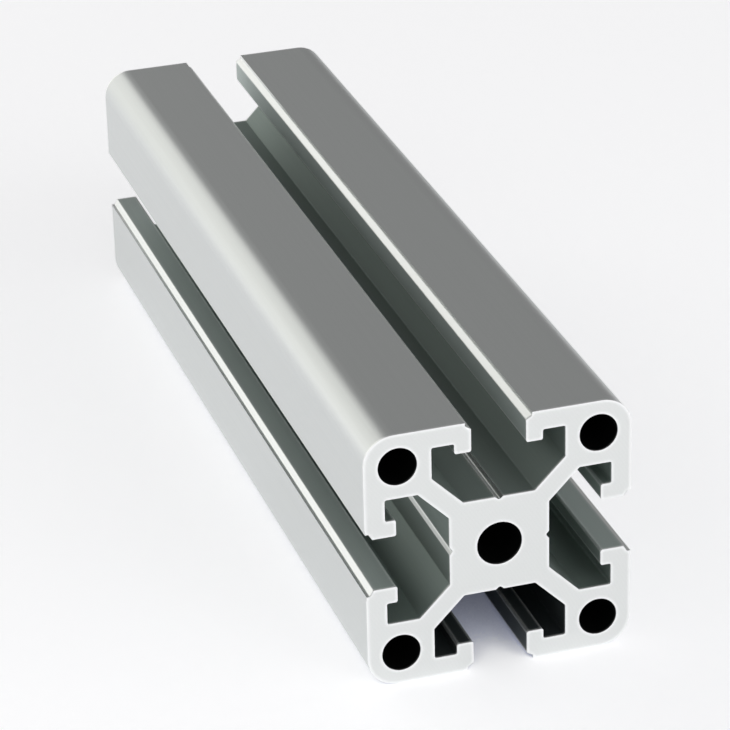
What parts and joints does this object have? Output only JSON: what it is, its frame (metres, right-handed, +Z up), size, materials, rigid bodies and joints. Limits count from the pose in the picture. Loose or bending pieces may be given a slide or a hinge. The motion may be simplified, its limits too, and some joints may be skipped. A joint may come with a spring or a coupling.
{
  "type": "aluminium extrusion profile",
  "caption": "Short sawn length of square T-slot aluminium profile with a slot in each side, a hole through its core and a hole through each corner block.",
  "frame": {"origin": "middle of the rectangle that the profile covers on the floor", "axes": "+X across the section, to the right as the front sawn end is looked at; +Y along the profile from the front sawn end to the back one; +Z up from the floor"},
  "size_m": [0.04, 0.15, 0.04],
  "materials": {
    "anodised_aluminium": "satin"
  },
  "bodies": {
    "root": {"extrusion_profile": "anodised_aluminium"}
  },
  "joints": []
}
